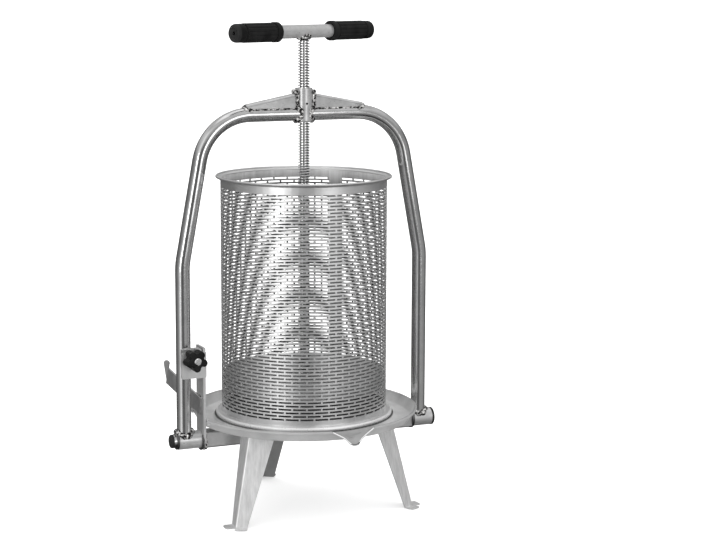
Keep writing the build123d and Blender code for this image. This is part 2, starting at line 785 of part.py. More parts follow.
for number in range(cover_screw_count):
    screw_angle = radians(number * 360.0 / cover_screw_count)
    with BuildPart() as cover_screw:
        with BuildSketch(Plane((screw_ring * cos(screw_angle), screw_ring * sin(screw_angle), cover_top))):
            Circle(cover_screw_head / 2)
        extrude(amount=cover_screw_head_height)
        with BuildSketch(Plane((screw_ring * cos(screw_angle), screw_ring * sin(screw_angle), cover_top))):
            Circle(cover_screw_diameter / 2)
        extrude(amount=-cover_screw_length)
    save(cover_screw, f"cover_screw_{number + 1}")
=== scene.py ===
"""Looks of the screw fruit press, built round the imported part. Metres, in the part's own frame."""

import math

import bmesh
import bpy
from mathutils import Matrix, Vector


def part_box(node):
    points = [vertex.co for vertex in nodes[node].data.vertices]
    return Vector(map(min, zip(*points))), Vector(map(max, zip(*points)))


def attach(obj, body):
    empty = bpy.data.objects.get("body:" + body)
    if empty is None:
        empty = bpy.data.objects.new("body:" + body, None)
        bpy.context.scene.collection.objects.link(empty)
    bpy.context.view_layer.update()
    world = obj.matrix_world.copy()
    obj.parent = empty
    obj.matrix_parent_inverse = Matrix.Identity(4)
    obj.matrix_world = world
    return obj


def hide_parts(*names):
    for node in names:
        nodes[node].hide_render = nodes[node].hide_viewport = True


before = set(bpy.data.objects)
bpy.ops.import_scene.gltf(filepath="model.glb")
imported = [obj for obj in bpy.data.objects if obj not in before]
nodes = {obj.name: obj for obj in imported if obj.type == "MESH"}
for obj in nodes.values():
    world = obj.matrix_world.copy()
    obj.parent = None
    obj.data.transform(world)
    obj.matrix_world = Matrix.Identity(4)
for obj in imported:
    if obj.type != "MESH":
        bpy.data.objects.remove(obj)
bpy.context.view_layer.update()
scene = bpy.context.scene
MM = 0.001


# Shader nodes


def colour(value):
    """RGBA of a grey level or of a colour."""
    return (value, value, value, 1.0) if isinstance(value, float) else (*value, 1.0)


def feed(tree, socket, value):
    """Give a socket a plain value or the output of another node."""
    if isinstance(value, bpy.types.NodeSocket):
        tree.links.new(value, socket)
    else:
        socket.default_value = value


def reckon(tree, operation, *values):
    """Arithmetic on outputs of nodes and plain numbers."""
    node = tree.nodes.new("ShaderNodeMath")
    node.operation = operation
    for socket, value in zip(node.inputs, values):
        feed(tree, socket, value)
    return node.outputs["Value"]


def axes(tree, vector):
    """X, Y and Z of a vector."""
    node = tree.nodes.new("ShaderNodeSeparateXYZ")
    tree.links.new(vector, node.inputs["Vector"])
    return [node.outputs[axis] for axis in "XYZ"]


def from_axis(tree, vector):
    """Distance of a place from the Z axis."""
    flat = tree.nodes.new("ShaderNodeVectorMath")
    flat.operation = "MULTIPLY"
    flat.inputs[1].default_value = (1.0, 1.0, 0.0)
    tree.links.new(vector, flat.inputs[0])
    length = tree.nodes.new("ShaderNodeVectorMath")
    length.operation = "LENGTH"
    tree.links.new(flat.outputs["Vector"], length.inputs[0])
    return length.outputs["Value"]


def mix(tree, share, first, second):
    """Two colours mixed by a share from 0 to 1."""
    node = tree.nodes.new("ShaderNodeMix")
    node.data_type = "RGBA"
    for name, value in (("Factor", share), ("A", first), ("B", second)):
        feed(tree, node.inputs[name], value)
    return node.outputs["Result"]


def noise(tree, place, scale, detail, stretch=(1.0, 1.0, 1.0), rough=0.55):
    """Noise stretched along the part's axes."""
    mapping = tree.nodes.new("ShaderNodeMapping")
    mapping.inputs["Scale"].default_value = stretch
    tree.links.new(place.outputs["Object"], mapping.inputs["Vector"])
    texture = tree.nodes.new("ShaderNodeTexNoise")
    texture.inputs["Scale"].default_value = scale
    texture.inputs["Detail"].default_value = detail
    texture.inputs["Roughness"].default_value = rough
    tree.links.new(mapping.outputs["Vector"], texture.inputs["Vector"])
    return texture.outputs["Fac"]


def span(tree, value, low, high, start=0.3, stop=0.7):
    """Map a value onto a range."""
    ramp = tree.nodes.new("ShaderNodeMapRange")
    ramp.inputs["From Min"].default_value = start
    ramp.inputs["From Max"].default_value = stop
    ramp.inputs["To Min"].default_value = low
    ramp.inputs["To Max"].default_value = high
    tree.links.new(value, ramp.inputs["Value"])
    return ramp.outputs["Result"]


def tint(tree, value, dark, light, start=0.3, stop=0.7):
    """Map a value onto two colours or grey levels."""
    ramp = tree.nodes.new("ShaderNodeValToRGB")
    ramp.color_ramp.elements[0].position = start
    ramp.color_ramp.elements[0].color = colour(dark)
    ramp.color_ramp.elements[1].position = stop
    ramp.color_ramp.elements[1].color = colour(light)
    tree.links.new(value, ramp.inputs["Fac"])
    return ramp.outputs["Color"]


def bump(tree, value, strength, distance):
    """Bump from a height value."""
    node = tree.nodes.new("ShaderNodeBump")
    node.inputs["Strength"].default_value = strength
    node.inputs["Distance"].default_value = distance
    tree.links.new(value, node.inputs["Height"])
    return node.outputs["Normal"]


# Materials

GRAIN_HEIGHT = 0.0002
MOULD_HEIGHT = 0.0003
BLACK_SPECULAR = 0.13


def new_material(name):
    """Node material with its tree, its shader and its coordinates in the part's frame."""
    material = bpy.data.materials.new(name)
    material.use_nodes = True
    tree = material.node_tree
    shader = tree.nodes["Principled BSDF"]
    place = tree.nodes.new("ShaderNodeTexCoord")
    return material, tree, shader, place


def brush(tree, shader, place, grain, rough, depth):
    """Fine grain along one direction, in a shader's roughness and bump."""
    lines = noise(tree, place, 1.0, 3.0, grain, 0.7)
    tree.links.new(span(tree, lines, *rough), shader.inputs["Roughness"])
    tree.links.new(bump(tree, lines, depth, GRAIN_HEIGHT), shader.inputs["Normal"])


def steel(name, dark, light, rough, grain, depth, cloud=38.0, metallic=1.0, edges=(0.3, 0.7),
          stretch=(1.0, 1.0, 1.0)):
    """Stainless steel with cloudy reflections and a fine grain along one direction."""
    material, tree, shader, place = new_material(name)
    clouds = noise(tree, place, cloud, 5.0, stretch)
    shader.inputs["Metallic"].default_value = metallic
    tree.links.new(tint(tree, clouds, dark, light, *edges), shader.inputs["Base Color"])
    brush(tree, shader, place, grain, rough, depth)
    return material


def black(name, base, worn, rough, grain, depth):
    """Black rubber or plastic with a fine moulded grain and slightly paler worn patches."""
    material, tree, shader, place = new_material(name)
    patch = noise(tree, place, 55.0, 4.0)
    mould = noise(tree, place, grain, 2.0)
    shader.inputs["Specular IOR Level"].default_value = BLACK_SPECULAR
    tree.links.new(tint(tree, patch, base, worn), shader.inputs["Base Color"])
    tree.links.new(span(tree, mould, rough - 0.08, rough + 0.1), shader.inputs["Roughness"])
    tree.links.new(bump(tree, mould, depth, MOULD_HEIGHT), shader.inputs["Normal"])
    return material


polished = steel("polished_steel", 0.56, 0.70, rough=(0.11, 0.20), grain=(90, 90, 900), depth=0.04)
satin = steel("satin_steel", 0.56, 0.72, rough=(0.42, 0.54), grain=(900, 60, 60), depth=0.07)
upright_satin = steel("upright_satin_steel", 0.70, 0.90, rough=(0.38, 0.54), grain=(900, 900, 30),
                      depth=0.06, metallic=0.80, stretch=(6.0, 6.0, 0.25))
shaded_satin = steel("shaded_satin_steel", 0.30, 0.38, rough=(0.42, 0.54), grain=(60, 60, 900), depth=0.06,
                     metallic=0.80)
bright_satin = steel("bright_satin_steel", 0.42, 0.56, rough=(0.26, 0.38), grain=(90, 90, 700), depth=0.06,
                     cloud=60.0, metallic=0.65)
bar_satin = steel("bar_satin_steel", 0.58, 0.70, rough=(0.40, 0.52), grain=(60, 60, 900), depth=0.06,
                  metallic=0.85)
hoop = steel("basket_steel", 0.76, 0.88, rough=(0.36, 0.48), grain=(30, 30, 1500), depth=0.05)
# pale steel for painted highlights: the shell over the basket's bead and the rod along the lip's cut edge
highlight_steel = steel("painted_highlight_steel", 0.80, 0.90, rough=(0.26, 0.36), grain=(300, 300, 300), depth=0.03,
                  metallic=0.45)
machined = steel("screw_steel", 0.62, 0.80, rough=(0.16, 0.28), grain=(300, 300, 2600), depth=0.08)
# the thread's crests in a lit copy of the screw's steel as a painted highlight, its flanks and roots in a
# shaded copy as painted shade
crest_highlight = steel("thread_crest_highlight_steel", 0.86, 0.95, rough=(0.10, 0.16), grain=(300, 300, 2600),
                    depth=0.04, metallic=0.80)
groove_shade = steel("thread_groove_shade_steel", 0.09, 0.14, rough=(0.08, 0.13), grain=(500, 500, 500), depth=0.03)
# near-black painted shade for the inside of the nut's cross hole
hole_shade_steel = steel("hole_shade_steel", 0.010, 0.03, rough=(0.46, 0.60), grain=(500, 500, 500), depth=0.08)
# dull steel for the axle collar, its retaining ring, a weld ring and the lip's tip; on the axle collar its
# darkness is partly painted shade
dull_and_shaded = steel("dull_and_shaded_steel", 0.10, 0.20, rough=(0.34, 0.50), grain=(400, 400, 400), depth=0.06)
weld_steel = steel("weld_steel", 0.008, (0.80, 0.79, 0.78), rough=(0.14, 0.30), grain=(600, 600, 600),
                   depth=0.35, cloud=260.0, metallic=0.70, edges=(0.46, 0.60))
bronze = steel("bronze", (0.42, 0.30, 0.14), (0.58, 0.43, 0.22), rough=(0.28, 0.42), grain=(500, 500, 500),
               depth=0.08)
rubber = black("grip_rubber", 0.004, 0.012, rough=0.50, grain=1500.0, depth=0.25)
cap = black("cap_plastic", 0.012, 0.024, rough=0.36, grain=2200.0, depth=0.10)
plastic = black("black_plastic", 0.004, 0.010, rough=0.36, grain=2200.0, depth=0.12)

# heights, radii and places between which a painted light or shade changes, in metres
BASKET_PAINTED_LIGHT = (0.485, 0.515)
BASKET_SHADE = (0.1290, 0.1330)
# the tray's painted shadow ring under the basket's edge with its opening at the front-left, and the place of
# its painted light on the inner wall
GAP_SHADOW_START, GAP_SHADOW_END = (0.1345, 0.1352), (0.1368, 0.1381)
GAP_SHADOW_OPEN_AT, GAP_SHADOW_OPEN = -0.060, (0.026, 0.052)
INNER_WALL_LIGHT, INNER_FRONT_LIGHT = (0.1695, 0.1710), (-0.140, -0.100)


def basket_inside_painted_shade(name, dark, light):
    """Steel of the basket's inner side, with painted light near the open top and painted shade lower down."""
    material, tree, shader, place = new_material(name)
    height = axes(tree, place.outputs["Object"])[2]
    streak = noise(tree, place, 1.0, 3.0, (160, 160, 3))
    # a shaded copy low down and a lit copy near the top, blended by height: painted shade and painted light
    low, high = tint(tree, streak, dark, light), tint(tree, streak, 0.80, 1.0)
    sheet = mix(tree, span(tree, height, 0.0, 1.0, *BASKET_PAINTED_LIGHT), low, high)
    tree.links.new(sheet, shader.inputs["Base Color"])
    tree.links.new(span(tree, streak, 0.34, 0.46), shader.inputs["Roughness"])
    shader.inputs["Metallic"].default_value = 0.30
    return material


def tray_shade_and_light_steel():
    """Pressed steel of the tray, with a painted shadow in the gap under the basket's edge, painted shade
    under the basket and painted light on the gutter's inner wall.
    """
    material, tree, shader, place = new_material("tray_shade_and_light_steel")
    x, y, _ = axes(tree, place.outputs["Object"])
    facing_up = axes(tree, place.outputs["Normal"])[2]
    radius = from_axis(tree, place.outputs["Object"])
    # painted light on the gutter's inner wall: faces turned up, inside the rim, towards the back
    inner = span(tree, facing_up, 0.0, 1.0, -0.1, 0.1)
    inner = reckon(tree, "MULTIPLY", inner, span(tree, radius, 1.0, 0.0, *INNER_WALL_LIGHT))
    inner = reckon(tree, "MULTIPLY", inner, span(tree, y, 0.0, 1.0, *INNER_FRONT_LIGHT))
    cloud = noise(tree, place, 30.0, 5.0)
    # a shaded copy outside and a lit copy on the inner wall
    sheet = mix(tree, inner, tint(tree, cloud, 0.30, 0.38), tint(tree, cloud, 0.54, 0.72))
    # painted shade on the platform under the basket
    sheet = mix(tree, span(tree, radius, 0.0, 1.0, *BASKET_SHADE), colour(0.20), sheet)
    # painted shadow ring in the gap under the basket's edge, left open at the front-left
    before, behind = span(tree, radius, 1.0, 0.0, *GAP_SHADOW_START), span(tree, radius, 0.0, 1.0, *GAP_SHADOW_END)
    beside = reckon(tree, "ABSOLUTE", reckon(tree, "SUBTRACT", x, GAP_SHADOW_OPEN_AT))
    clear = reckon(tree, "MAXIMUM", before, behind)
    clear = reckon(tree, "MAXIMUM", clear, span(tree, beside, 1.0, 0.0, *GAP_SHADOW_OPEN))
    tree.links.new(mix(tree, clear, colour(0.03), sheet), shader.inputs["Base Color"])
    brush(tree, shader, place, (200, 200, 200), (0.34, 0.46), 0.05)
    shader.inputs["Metallic"].default_value = 0.22
    return material


def gusset_light_and_shade_steel():
    """Folded sheet of the gussets, with painted light on its tops and painted shade on its sides."""
    material, tree, shader, place = new_material("gusset_light_and_shade_steel")
    facing_up = axes(tree, place.outputs["Normal"])[2]
    cloud = noise(tree, place, 60.0, 5.0)
    # a shaded copy for the sides and a lit copy for the tops
    sides, tops = tint(tree, cloud, 0.26, 0.40), tint(tree, cloud, 0.48, 0.62)
    sheet = mix(tree, span(tree, facing_up, 0.0, 1.0, 0.3, 0.6), sides, tops)
    tree.links.new(sheet, shader.inputs["Base Color"])
    brush(tree, shader, place, (90, 90, 700), (0.26, 0.38), 0.06)
    shader.inputs["Metallic"].default_value = 0.65
    return material


# painted shade inside the basket, lighter at the seam strip
inside = basket_inside_painted_shade("basket_inside_painted_shade_steel", 0.05, 0.09)
seam_painted_shade = basket_inside_painted_shade("basket_seam_painted_shade_steel", 0.20, 0.30)
gusset = gusset_light_and_shade_steel()
dish_shade_and_light = tray_shade_and_light_steel()
finishes = (
    (dish_shade_and_light, ("juice_tray",)),
    (polished, ("axle", "yoke_tube_left", "yoke_tube_right")),
    (satin, ("crossbeam", "tray_saddle_left", "tray_saddle_right", "tilt_rest", "latch_pad",
             "press_plate")),
    (upright_satin, ("leg_front_left", "leg_front_right")),
    (shaded_satin, ("leg_rear",)),
    (bright_satin, ("hinge_sleeve_left", "screw_nut", "handle_bar")),
    (bar_satin, ("hinge_sleeve_right", "latch_bar", "latch_plate")),
    (gusset, ("gusset_left", "gusset_right")),
    (hoop, ("basket_wall", "basket_rim", "basket_base_ring")),
    # the axle collar's dull steel is partly painted shade
    (dull_and_shaded, ("axle_collar", "axle_retaining_ring")),
    (machined, ("screw_spindle", "swivel_cup", "swivel_cover", "cover_screw_1", "cover_screw_2",
                "cover_screw_3", "cover_screw_4", "latch_washer", "latch_hub", "latch_stud")),
    (bronze, ("thrust_washer",)),
    (rubber, ("grip_left", "grip_right")),
    (cap, ("axle_end_plug",)),
    (plastic, ("latch_knob",)),
)
for material, node_names in finishes:
    for node_name in node_names:
        slots = nodes[node_name].data.materials
        slots.clear()
        slots.append(material)


# Mesh helpers

# smallest radius of a turned piece, at its axis
AXIS = 0.01


def put(name, data, body, material):
    """Object of a finished mesh, which rides on a body."""
    data.materials.append(material)
    for polygon in data.polygons:
        polygon.use_smooth = True
    thing = bpy.data.objects.new(name, data)
    scene.collection.objects.link(thing)
    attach(thing, body)
    return thing


def piece(name, verts, faces, body, material):
    """New piece from points in metres and their faces."""
    data = bpy.data.meshes.new(name)
    data.from_pydata(verts, [], faces)
    data.validate()
    mesh = bmesh.new()
    mesh.from_mesh(data)
    bmesh.ops.recalc_face_normals(mesh, faces=mesh.faces)
    mesh.to_mesh(data)
    mesh.free()
    return put(name, data, body, material)


def crisp(thing, degrees):
    """Keep edges sharper than an angle crisp."""
    for edge in thing.data.edges:
        edge.use_edge_sharp = False
    thing.data.set_sharp_from_angle(angle=math.radians(degrees))
    return thing


def turned_faces(segments, count):
    """Faces of a closed profile of some points, repeated round an axis."""
    faces = []
    for step in range(segments):
        here, after = step * count, (step + 1) % segments * count
        for index in range(count):
            nxt = (index + 1) % count
            faces.append((here + index, after + index, after + nxt, here + nxt))
    return faces


def lathe(name, profile, body, material, centre=(0, 0, 0), axis="Z", segments=72):
    """Turned piece from (radius, height) points in millimetres, closed into a solid of revolution."""
    verts = []
    for step in range(segments):
        angle = 2 * math.pi * step / segments
        for radius, height in profile:
            u, v = radius * math.cos(angle), radius * math.sin(angle)
            point = {"Z": (u, v, height), "X": (height, u, v), "Y": (u, -height, v)}[axis]
            verts.append(tuple((point[i] + centre[i]) * MM for i in range(3)))
    faces = turned_faces(segments, len(profile))
    return crisp(piece(name, verts, faces, body, material), 35.0)


def bead(name, path, radius, body, closed=False, spread=0.75, material=weld_steel):
    """Weld bead: a row of overlapping drops along a path in millimetres."""
    mesh = bmesh.new()
    points = [Vector(p) for p in path]
    if closed:
        points.append(points[0])
    lengths = [(b - a).length for a, b in zip(points, points[1:])]
    total = sum(lengths)
    count = max(3, int(total / (radius * spread)))
    for step in range(count + (0 if closed else 1)):
        target = total * step / count
        for a, b, length in zip(points, points[1:], lengths):
            if target <= length + 1e-6:
                spot = a.lerp(b, target / length if length else 0.0)
                break
            target -= length
        # drops of uneven size, the same in each run
        swell = 1.0 + 0.16 * math.sin(step * 2.399) + 0.08 * math.sin(step * 5.1 + 1.0)
        drop = bmesh.ops.create_icosphere(mesh, subdivisions=2, radius=radius * swell * MM)
        bmesh.ops.translate(mesh, verts=drop["verts"], vec=spot * MM)
    data = bpy.data.meshes.new(name)
    mesh.to_mesh(data)
    mesh.free()
    return put(name, data, body, material)


# Basket wall: every slot of the perforated sheet

wall_low, wall_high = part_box("basket_wall")
WALL_RADIUS = 126.0
SHEET = 1.5
COLUMNS = 36
ROWS = 66
SLOT_LENGTH = 19.4
SLOT_HEIGHT = 2.6
BAND_TOP = 12.5
BAND_BOTTOM = 9.5
# the blank seam strip: its place in degrees and its half width in columns
SEAM_AT = 44.0
SEAM_HALF = 0.45
# from a cell's first edge to a place well inside it, in degrees
INTO_CELL = 2.0
# a face whose normal points outward by less than this is on the inner side
FACES_IN = -0.5
bottom, top = wall_low.z / MM, wall_high.z / MM
pitch = 360.0 / COLUMNS
half_slot = math.degrees(SLOT_LENGTH / 2 / WALL_RADIUS)
cuts = (half_slot - pitch / 2, pitch / 2 - half_slot, half_slot, pitch - half_slot)
angles = [column * pitch + cut for column in range(COLUMNS) for cut in cuts]
row_pitch = (top - bottom - BAND_TOP - BAND_BOTTOM) / (ROWS - 1)
levels = [bottom]
for row in range(ROWS):
    middle = bottom + BAND_BOTTOM + row * row_pitch
    levels += [middle - SLOT_HEIGHT / 2, middle + SLOT_HEIGHT / 2]
levels.append(top)


def is_hole(band, place):
    """Whether a cell of the wall's grid is inside a slot."""
    if band % 2 == 0:
        return False
    row = band // 2
    kind = place % len(cuts)
    solid = 0 if row % 2 else 2
    from_seam = (angles[place] + INTO_CELL - SEAM_AT + 180.0) % 360.0 - 180.0
    return kind != solid and abs(from_seam) >= pitch * SEAM_HALF


verts, faces = [], []
ring = len(angles)
for radius in (WALL_RADIUS, WALL_RADIUS - SHEET):
    for level in levels:
        for angle in angles:
            a = math.radians(angle)
            verts.append((radius * math.cos(a) * MM, radius * math.sin(a) * MM, level * MM))
shell = len(levels) * ring
for band in range(len(levels) - 1):
    for place in range(ring):
        nxt = (place + 1) % ring
        a, b = band * ring + place, band * ring + nxt
        c, d = a + ring, b + ring
        if is_hole(band, place):
            # the walls of a slot: above and below, and at its two ends
            faces.append((a, b, b + shell, a + shell))
            faces.append((c, c + shell, d + shell, d))
            if not is_hole(band, (place - 1) % ring):
                faces.append((a, a + shell, c + shell, c))
            if not is_hole(band, nxt):
                faces.append((b, d, d + shell, b + shell))
        else:
            faces.append((a, b, d, c))
            faces.append((a + shell, c + shell, d + shell, b + shell))
last = (len(levels) - 1) * ring
for place in range(ring):
    nxt = (place + 1) % ring
    faces.append((place, place + shell, nxt + shell, nxt))
    faces.append((last + place, last + nxt, last + nxt + shell, last + place + shell))
basket = crisp(piece("basket_sheet", verts, faces, "basket", hoop), 40.0)
basket.data.materials.append(inside)
basket.data.materials.append(seam_painted_shade)
# the inner faces take the painted-shade lining, a lighter one at the seam strip
for polygon in basket.data.polygons:
    outward = polygon.normal.xy.dot(polygon.center.xy.normalized())
    from_seam = math.degrees(math.atan2(polygon.center.y, polygon.center.x)) - SEAM_AT
    lining = 2 if abs(from_seam) < pitch / 2 else 1
    polygon.material_index = lining if outward < FACES_IN else 0
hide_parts("basket_wall")

# Screw spindle with its trapezoidal thread

spindle_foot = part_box("screw_spindle")[0].z / MM
LEAD = 4.0
MAJOR, MINOR = 9.0, 6.0
CREST, ROOT = 0.62, 1.15
TURN_STEPS = 28
THREAD_END, SPINDLE_END = 717.0, 719.0
FOOT_RADIUS, FOOT_HEIGHT, FOOT_CLEAR = 13.0, 12.0, 0.03
THREAD_ABOVE_FOOT = 16.0
NECK_END, RUN_OUT = 1.0, 3.0
TOP_NECK = 8.8
CORE = MINOR - 0.02
CREST_LEAST = MAJOR - 0.1
thread_start = spindle_foot + THREAD_ABOVE_FOOT
turns = int((THREAD_END - thread_start) / LEAD)
verts, faces = [], []
profile = ((MAJOR, -CREST), (MAJOR, CREST), (MINOR, ROOT), (MINOR, LEAD - ROOT))
row = len(profile)
steps = turns * TURN_STEPS
for step in range(steps + 1):
    angle = 2 * math.pi * step / TURN_STEPS
    climb = thread_start + LEAD * step / TURN_STEPS
    for radius, shift in profile:
        verts.append((radius * math.cos(angle) * MM, radius * math.sin(angle) * MM, (climb + shift) * MM))
for step in range(steps):
    for index in range(row - 1):
        a = step * row + index
        faces.append((a, a + row, a + row + 1, a + 1))
    if step + TURN_STEPS + 1 <= steps:
        # the last flank meets the next turn's crest
        a, b = step * row + row - 1, (step + TURN_STEPS) * row
        faces.append((a, a + row, b + row, b))
spindle = crisp(piece("spindle_thread", verts, faces, "screw", crest_highlight), 30.0)
spindle.data.materials.append(groove_shade)
# crests take the painted highlight, flanks and roots the painted shade
for polygon in spindle.data.polygons:
    least = min(math.hypot(*spindle.data.vertices[v].co.xy) for v in polygon.vertices)
    polygon.material_index = 0 if least > CREST_LEAST * MM else 1
foot = spindle_foot + FOOT_CLEAR
core_profile = [(AXIS, foot), (FOOT_RADIUS, foot), (FOOT_RADIUS, foot + FOOT_HEIGHT),
                (MAJOR, foot + FOOT_HEIGHT), (MAJOR, thread_start + NECK_END), (CORE, thread_start + RUN_OUT),
                (CORE, THREAD_END - RUN_OUT), (TOP_NECK, THREAD_END), (TOP_NECK, SPINDLE_END),
                (AXIS, SPINDLE_END)]
lathe("spindle_core", core_profile, "screw", machined, segments=56)
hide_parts("screw_spindle")

# Weld beads of the yoke, the handle and the latch, in millimetres

TUBE = 11.0
NUT = 13.0
SLEEVE = 13.5
POST = 194.0
HINGE = 119.0
TOP_TUBE = 605.0
HANDLE_AT = 727.0
HANDLE_RADIUS = 10.0
HANDLE_TURN = math.radians(22.0)
# welds of the right gusset: the left one's are their mirror image
GUSSET_FACE = 8.3
GUSSET_AT_NUT = ((13.4, 612.0), (13.4, 638.0))
GUSSET_EDGE = ((16.0, 612.4), (88.0, 612.4))
GUSSET_TOP = ((14.2, -7.0, 636.6), (15.4, 0.0, 637.0), (14.2, 7.0, 636.6))
GUSSET_TIP = ((87.0, -9.0, 611.5), (94.5, -7.5, 613.5), (96.0, 0.0, 616.0), (94.5, 7.5, 613.5),
              (87.0, 9.0, 611.5))
# welds at the left end of the crossbeam and on the latch bar
BEAM_END = -164.0
BEAM_SEAM = ((-13.0, 107.0), (-13.0, 131.0), (0.0, 132.0), (13.0, 131.0))
EYE_FACE = -168.6
REST_SEAM = ((-168.8, -11.0, 184.0), (-168.8, 15.0, 186.4))
SLEEVE_RING = [(12.6, 214.4), (13.5, 214.0), (13.9, 214.4), (13.9, 217.3), (13.4, 217.9), (12.6, 217.9)]
# the nut's cross hole, as turned pieces on a line to the front, with a near-black disc of painted shade in
# the hole: (radius, distance from the screw's axis)
BORE_AT = TOP_TUBE + 15.0
BORE_RIM = [(1.8, 12.0), (2.6, 12.0), (2.6, 13.2), (1.8, 13.2)]
BORE_SHADE = [(AXIS, 11.0), (1.8, 11.0), (1.8, 12.9), (AXIS, 12.9)]


def ring_points(count, point):
    """Closed row of points from a function of the angle."""
    return [point(2 * math.pi * step / count) for step in range(count)]


def eye_arc(at, radius, start, stop, steps):
    """Points of an arc round the hinge line in a plane across it, angles in degrees."""
    turns_at = [math.radians(start + (stop - start) * step / steps) for step in range(steps + 1)]
    return [(at, radius * math.cos(angle), HINGE + radius * math.sin(angle)) for angle in turns_at]


def nut_seam(side):
    """Seam of the top tube on the round nut."""
    return lambda a: (side * math.sqrt(NUT**2 - (TUBE * math.cos(a))**2), TUBE * math.cos(a),
                      TOP_TUBE + TUBE * math.sin(a))


def post_seam(side):
    """Seam of a post on its hinge sleeve."""
    return lambda a: (side * POST + TUBE * math.cos(a), TUBE * math.sin(a),
                      HINGE + math.sqrt(SLEEVE**2 - (TUBE * math.sin(a))**2))


def handle_seam(a):
    """Seam of the screw on the handle bar."""
    off = MAJOR * math.sin(a - HANDLE_TURN)
    return (MAJOR * math.cos(a), MAJOR * math.sin(a), HANDLE_AT - math.sqrt(HANDLE_RADIUS**2 - off**2))


def on_face(side, face, path):
    """Path of (x, z) points on a face of a gusset."""
    return [(side * x, face, z) for x, z in path]


def on_side(side, path):
    """Path of the right gusset, put on one side."""
    return [(side * x, y, z) for x, y, z in path]


bead("handle_weld", ring_points(40, handle_seam), 2.6, "screw", closed=True, spread=0.5)
for side, label in ((-1, "left"), (1, "right")):
    bead(f"nut_weld_{label}", ring_points(48, nut_seam(side)), 3.8, "yoke", closed=True)
    bead(f"post_weld_{label}", ring_points(48, post_seam(side)), 4.8, "yoke", closed=True)
    for face, end in ((-GUSSET_FACE, "front"), (GUSSET_FACE, "rear")):
        bead(f"gusset_nut_weld_{label}_{end}", on_face(side, face, GUSSET_AT_NUT), 2.9, "yoke", spread=0.6)
        bead(f"gusset_edge_weld_{label}_{end}", on_face(side, face, GUSSET_EDGE), 1.5, "yoke")
    bead(f"gusset_top_weld_{label}", on_side(side, GUSSET_TOP), 3.0, "yoke", spread=0.45)
    bead(f"gusset_tip_weld_{label}", on_side(side, GUSSET_TIP), 2.9, "yoke")
bead("beam_weld", [(BEAM_END, y, z) for y, z in BEAM_SEAM], 1.8, "base")
bead("eye_weld", eye_arc(BEAM_END, 15.6, 180.0, 360.0, 40), 1.8, "base")
bead("eye_rim_weld", eye_arc(EYE_FACE, 15.4, 150.0, 390.0, 60), 1.7, "base", material=dull_and_shaded)
bead("rest_weld", REST_SEAM, 1.2, "base")
lathe("sleeve_end_ring", SLEEVE_RING, "yoke", cap, centre=(0, 0, HINGE), axis="X",
      segments=64)
lathe("grease_hole_ring", BORE_RIM, "yoke", bright_satin, centre=(0, 0, BORE_AT), axis="Y",
      segments=32)
# near-black disc as painted shade in the cross hole
lathe("grease_hole_shade", BORE_SHADE, "yoke", hole_shade_steel, centre=(0, 0, BORE_AT), axis="Y",
      segments=32)

# Painted highlight: a pale shell just proud of the bead at the bottom of the basket

bead_low, bead_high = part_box("basket_base_ring")
BEAD = 2.6
BEAD_PROUD = 0.08
BEAD_STEPS = 20
bead_out, bead_up = bead_high.x / MM - BEAD, bead_low.z / MM + BEAD
circle = ring_points(BEAD_STEPS, lambda a: (bead_out + (BEAD + BEAD_PROUD) * math.cos(a),
                                            bead_up + (BEAD + BEAD_PROUD) * math.sin(a)))
lathe("basket_bead_highlight", circle, "basket", highlight_steel, segments=180)

# Pouring lip: the tray's sheet with the lip drawn down to a round tip, and a pale rod along the lip's cut
# edge as a painted highlight

LIP_ANGLE = math.radians(-87.0)
GUTTER_RADIUS, GUTTER_TOP = 162.0, 140.5
LIP_FALL, LIP_SLOPE, LIP_SINK, LIP_ROUND = 0.2493, 0.4916, 0.914, 8.0
LIP_DROP, LIP_DROP_AT, LIP_DROP_HALF = 3.5, -3.0, 11.0
LIP_DROP_START, LIP_DROP_END = 163.0, 178.0
TIP_RISE, TIP_HALF = 1.1, 4.0
# where the tray's sheet is made finer, and how fine
FINE_FROM, FINE_HALF, FINE = 158.0, 40.0, 2.0
FINE_ROUNDS = 6
# the cut edge's painted highlight: its radius, places of its plan as (distance out, offset), and the half
# width of its darker tip
EDGE = 0.8
EDGE_RIM, EDGE_MIDDLE, EDGE_TIP = (171.3, 33.2), (174.9, 15.0), (178.2, 5.5)
EDGE_STEPS, TIP_STEPS = 24, 10
DULL_HALF = 6.5


def lip_drop(reach, off):
    """How far the lip is drawn down at a place of its plan."""
    out = min(max((reach - LIP_DROP_START) / (LIP_DROP_END - LIP_DROP_START), 0.0), 1.0)
    hollow = LIP_DROP * math.exp(-(((off - LIP_DROP_AT) / LIP_DROP_HALF)**4))
    return out * out * (3 - 2 * out) * (hollow - TIP_RISE * math.exp(-((off / TIP_HALF)**2)))


def lip_point(reach, off):
    """Point on the lip's upper side, from its distance out and its offset from the lip's middle."""
    bend = LIP_ROUND * LIP_SLOPE / math.sqrt(1 + LIP_SLOPE**2)
    if abs(off) > bend:
        rise = LIP_SLOPE * abs(off) - LIP_SINK
    else:
        rise = LIP_ROUND - math.sqrt(LIP_ROUND**2 - off**2)
    height = GUTTER_TOP - LIP_FALL * (reach - GUTTER_RADIUS) + rise * math.sqrt(1 + LIP_FALL**2)
    height -= lip_drop(reach, off)
    along, across = math.cos(LIP_ANGLE), math.sin(LIP_ANGLE)
    return (reach * along - off * across, reach * across + off * along, height)


def lip_plan(spot):
    """Distance out and offset from the lip's middle of a point, in millimetres."""
    x, y = spot.x / MM, spot.y / MM
    along, across = math.cos(LIP_ANGLE), math.sin(LIP_ANGLE)
    return x * along + y * across, y * along - x * across


def near_lip(vert):
    """Whether a vertex is on the lip or close to it."""
    reach, off = lip_plan(vert.co)
    return reach > FINE_FROM and abs(off) < FINE_HALF


